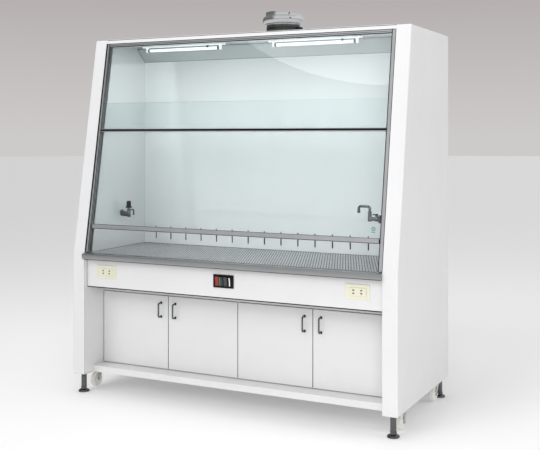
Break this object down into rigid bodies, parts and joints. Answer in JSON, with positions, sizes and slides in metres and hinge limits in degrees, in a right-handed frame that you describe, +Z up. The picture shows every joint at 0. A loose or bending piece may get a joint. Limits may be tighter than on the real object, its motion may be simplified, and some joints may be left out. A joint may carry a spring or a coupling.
{
  "type": "fume hood",
  "caption": "Free-standing bench fume hood with a leaning glass sash, slotted baffle, steel worktop, service taps, cupboards and a roof duct collar.",
  "frame": {"origin": "on the floor under the middle of the footprint", "axes": "+X to the right seen from the front, +Y to the back, +Z up"},
  "size_m": [1.8, 0.82, 2.03],
  "materials": {
    "white_steel": "satin white powder coat",
    "liner_white": "glossy white laminate",
    "galvanised": "zinc plated",
    "stainless": "brushed stainless",
    "board": "raw board",
    "ivory_plastic": "ivory, semi-gloss",
    "black_plastic": "black, semi-matte",
    "aluminium": "anodised, satin",
    "clear_glass": "clear with a faint green tint",
    "lamp_housing": "light grey enamel",
    "lamp_white": "opal white",
    "clamp_steel": "darkened steel",
    "chrome": "bright chrome plate",
    "pin_steel": "bright steel",
    "rope_steel": "stranded steel",
    "weight_iron": "black oxide",
    "rocker_red": "red, glossy",
    "rocker_green": "black with a green lens",
    "rocker_grey": "dark grey, glossy",
    "rocker_marked": "dark grey with a white mark",
    "fork_steel": "zinc plated",
    "caster_cream": "cream nylon"
  },
  "bodies": {
    "cabinet": {"left_casing": "white_steel", "right_casing": "white_steel", "left_liner": "liner_white", "right_liner": "liner_white", "roof_panel": "white_steel", "header_panel": "white_steel", "ceiling_liner": "liner_white", "rear_panel": "white_steel", "rear_baffle": "liner_white", "top_baffle": "liner_white", "bench_frame": "galvanised", "worktop": "stainless", "worktop_core": "board", "control_panel": "white_steel", "outlets": "ivory_plastic", "switch_bezel": "black_plastic", "sash_frame": "aluminium", "upper_glass": "clear_glass", "lamp_battens": "lamp_housing", "lamp_tubes": "lamp_white", "duct_spigot": "stainless", "duct_clamp": "clamp_steel", "base_shelf": "white_steel", "cabinet_carcass": "white_steel", "gas_cock_body": "chrome", "tap_body": "chrome", "pulley_brackets": "galvanised", "door_pivots": "pin_steel", "sash_ropes": "rope_steel", "weight_ropes": "rope_steel"},
    "sash": {"sash_glass": "clear_glass", "sash_rail": "aluminium", "sash_hangers": "galvanised"},
    "left_weight": {"left_weight": "weight_iron"},
    "right_weight": {"right_weight": "weight_iron"},
    "left_pulley": {"left_pulley": "black_plastic"},
    "right_pulley": {"right_pulley": "black_plastic"},
    "gas_knob": {"gas_knob": "black_plastic"},
    "tap_lever": {"tap_lever": "black_plastic"},
    "tap_spout": {"tap_spout": "chrome"},
    "door_1": {"door_1": "white_steel"},
    "door_2": {"door_2": "white_steel"},
    "door_3": {"door_3": "white_steel"},
    "door_4": {"door_4": "white_steel"},
    "rocker_1": {"rocker_1": "rocker_red"},
    "rocker_2": {"rocker_2": "rocker_green"},
    "rocker_3": {"rocker_3": "rocker_grey"},
    "rocker_4": {"rocker_4": "rocker_marked"},
    "caster_fork_1": {"caster_fork_1": "fork_steel"},
    "caster_fork_2": {"caster_fork_2": "fork_steel"},
    "caster_fork_3": {"caster_fork_3": "fork_steel"},
    "caster_fork_4": {"caster_fork_4": "fork_steel"},
    "caster_wheel_1": {"caster_wheel_1": "caster_cream"},
    "caster_wheel_2": {"caster_wheel_2": "caster_cream"},
    "caster_wheel_3": {"caster_wheel_3": "caster_cream"},
    "caster_wheel_4": {"caster_wheel_4": "caster_cream"},
    "foot_1": {"foot_1": "chrome"},
    "foot_2": {"foot_2": "chrome"},
    "foot_3": {"foot_3": "chrome"},
    "foot_4": {"foot_4": "chrome"}
  },
  "joints": [
    {"name": "sash_slide", "type": "slide", "parent": "cabinet", "child": "sash", "axis": [0, 0.1689, 0.9856], "range_m": [-0.125, 0.3], "deforming": ["sash_ropes"]},
    {"name": "left_weight_slide", "type": "slide", "parent": "cabinet", "child": "left_weight", "axis": [0, 0, -1], "range_m": [-0.13, 0.31], "deforming": ["weight_ropes"]},
    {"name": "left_pulley_turn", "type": "hinge", "parent": "cabinet", "child": "left_pulley", "pos_m": [-0.848, -0.13036, 1.815], "axis": [1, 0, 0], "range_deg": [-500, 210]},
    {"name": "right_weight_slide", "type": "slide", "parent": "cabinet", "child": "right_weight", "axis": [0, 0, -1], "range_m": [-0.13, 0.31]},
    {"name": "right_pulley_turn", "type": "hinge", "parent": "cabinet", "child": "right_pulley", "pos_m": [0.848, -0.13036, 1.815], "axis": [1, 0, 0], "range_deg": [-500, 210]},
    {"name": "door_1_hinge", "type": "hinge", "parent": "cabinet", "child": "door_1", "pos_m": [-0.819, -0.221, 0.3275], "axis": [0, 0, -1], "range_deg": [0, 88]},
    {"name": "door_2_hinge", "type": "hinge", "parent": "cabinet", "child": "door_2", "pos_m": [-0.0065, -0.221, 0.3275], "axis": [0, 0, 1], "range_deg": [0, 84]},
    {"name": "door_3_hinge", "type": "hinge", "parent": "cabinet", "child": "door_3", "pos_m": [0.0065, -0.221, 0.3275], "axis": [0, 0, -1], "range_deg": [0, 84]},
    {"name": "door_4_hinge", "type": "hinge", "parent": "cabinet", "child": "door_4", "pos_m": [0.819, -0.221, 0.3275], "axis": [0, 0, 1], "range_deg": [0, 88]},
    {"name": "rocker_1_tilt", "type": "hinge", "parent": "cabinet", "child": "rocker_1", "pos_m": [-0.03525, -0.366, 0.643], "axis": [-1, 0, 0], "range_deg": [0, 14]},
    {"name": "rocker_2_tilt", "type": "hinge", "parent": "cabinet", "child": "rocker_2", "pos_m": [-0.01175, -0.366, 0.643], "axis": [-1, 0, 0], "range_deg": [0, 14]},
    {"name": "rocker_3_tilt", "type": "hinge", "parent": "cabinet", "child": "rocker_3", "pos_m": [0.01175, -0.366, 0.643], "axis": [-1, 0, 0], "range_deg": [0, 14]},
    {"name": "rocker_4_tilt", "type": "hinge", "parent": "cabinet", "child": "rocker_4", "pos_m": [0.03525, -0.366, 0.643], "axis": [-1, 0, 0], "range_deg": [0, 14]},
    {"name": "gas_knob_turn", "type": "hinge", "parent": "cabinet", "child": "gas_knob", "pos_m": [-0.78, -0.059, 0.97], "axis": [0, 0, 1], "range_deg": [0, 90]},
    {"name": "tap_lever_turn", "type": "hinge", "parent": "cabinet", "child": "tap_lever", "pos_m": [0.727, -0.19, 0.98], "axis": [0, 0, 1], "range_deg": [0, 90]},
    {"name": "tap_spout_swivel", "type": "hinge", "parent": "cabinet", "child": "tap_spout", "pos_m": [0.693, -0.19, 1], "axis": [0, 0, 1], "range_deg": [-100, 100]},
    {"name": "caster_1_swivel", "type": "hinge", "parent": "cabinet", "child": "caster_fork_1", "pos_m": [-0.8635, -0.215, 0.118], "axis": [0, 0, 1], "continuous": true},
    {"name": "caster_1_roll", "type": "hinge", "parent": "caster_fork_1", "child": "caster_wheel_1", "pos_m": [-0.8635, -0.24, 0.0415], "axis": [1, 0, 0], "continuous": true},
    {"name": "caster_2_swivel", "type": "hinge", "parent": "cabinet", "child": "caster_fork_2", "pos_m": [0.8635, -0.215, 0.118], "axis": [0, 0, 1], "continuous": true},
    {"name": "caster_2_roll", "type": "hinge", "parent": "caster_fork_2", "child": "caster_wheel_2", "pos_m": [0.8635, -0.24, 0.0415], "axis": [1, 0, 0], "continuous": true},
    {"name": "caster_3_swivel", "type": "hinge", "parent": "cabinet", "child": "caster_fork_3", "pos_m": [-0.8635, 0.288, 0.118], "axis": [0, 0, 1], "continuous": true},
    {"name": "caster_3_roll", "type": "hinge", "parent": "caster_fork_3", "child": "caster_wheel_3", "pos_m": [-0.8635, 0.263, 0.0415], "axis": [1, 0, 0], "continuous": true},
    {"name": "caster_4_swivel", "type": "hinge", "parent": "cabinet", "child": "caster_fork_4", "pos_m": [0.8635, 0.288, 0.118], "axis": [0, 0, 1], "continuous": true},
    {"name": "caster_4_roll", "type": "hinge", "parent": "caster_fork_4", "child": "caster_wheel_4", "pos_m": [0.8635, 0.263, 0.0415], "axis": [1, 0, 0], "continuous": true},
    {"name": "foot_1_screw", "type": "slide", "parent": "cabinet", "child": "foot_1", "axis": [0, 0, -1], "range_m": [-0.008, 0.02]},
    {"name": "foot_2_screw", "type": "slide", "parent": "cabinet", "child": "foot_2", "axis": [0, 0, -1], "range_m": [-0.008, 0.02]},
    {"name": "foot_3_screw", "type": "slide", "parent": "cabinet", "child": "foot_3", "axis": [0, 0, -1], "range_m": [-0.008, 0.02]},
    {"name": "foot_4_screw", "type": "slide", "parent": "cabinet", "child": "foot_4", "axis": [0, 0, -1], "range_m": [-0.008, 0.02]}
  ],
  "couplings": [
    {"joint": "left_weight_slide", "follows": "sash_slide", "ratio": 1},
    {"joint": "left_pulley_turn", "follows": "sash_slide", "rad_per_m": -28.571},
    {"joint": "right_weight_slide", "follows": "sash_slide", "ratio": 1},
    {"joint": "right_pulley_turn", "follows": "sash_slide", "rad_per_m": -28.571}
  ]
}
